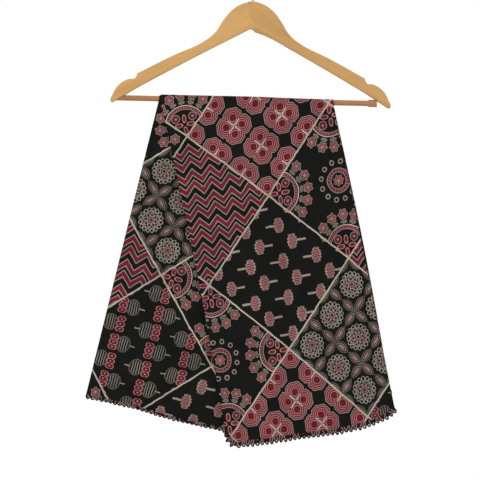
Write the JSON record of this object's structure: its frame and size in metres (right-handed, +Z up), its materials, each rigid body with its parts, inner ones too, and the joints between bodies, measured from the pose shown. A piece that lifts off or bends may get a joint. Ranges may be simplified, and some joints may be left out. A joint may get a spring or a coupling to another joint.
{
  "type": "ajrakh cloth hung on a wooden clothes hanger",
  "caption": "Block-printed ajrakh cloth with picot edging, pleated and hung over the bar of a flat wooden clothes hanger with a wire hook.",
  "frame": {"origin": "inside top of the hook, the point by which the hanger hangs", "axes": "+Z up, +X to the right seen from the front, and the front of the cloth faces -Y"},
  "size_m": [0.4958, 0.0507, 0.7886],
  "materials": {
    "printed_cloth": "matt printed cotton, black ground with crimson, pink and cream",
    "edging": "crocheted cotton, dark maroon",
    "wood": "satin lacquered hardwood",
    "bar_wood": "satin lacquered hardwood, darker",
    "wire": "plated steel wire"
  },
  "bodies": {
    "root": {"cloth": "printed_cloth", "front_edging": "edging", "back_edging": "edging", "left_arm": "wood", "right_arm": "wood", "bar": "bar_wood", "hook": "wire"}
  },
  "joints": []
}
